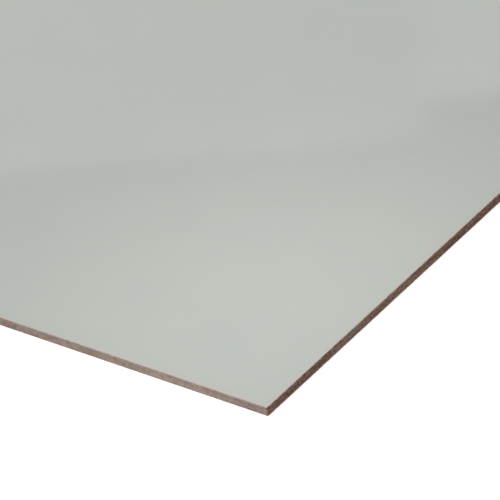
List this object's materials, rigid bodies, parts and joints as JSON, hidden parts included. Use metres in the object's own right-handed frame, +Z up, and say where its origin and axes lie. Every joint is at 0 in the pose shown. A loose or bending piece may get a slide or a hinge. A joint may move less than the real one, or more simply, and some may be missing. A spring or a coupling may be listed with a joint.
{
  "type": "hardboard sheet",
  "caption": "Thin flat rectangular sheet of pressed hardboard with a smooth pale grey lacquered face, sawn brown fibre edges and a bare mesh-marked underside.",
  "frame": {"origin": "middle of the underside, the mesh-marked face that the sheet lies on", "axes": "+X along the length, +Y along the width, +Z up through the thickness to the lacquered face"},
  "size_m": [1.22, 0.61, 0.003],
  "materials": {
    "lacquered_hardboard": "satin"
  },
  "bodies": {
    "root": {"hardboard_sheet": "lacquered_hardboard"}
  },
  "joints": []
}
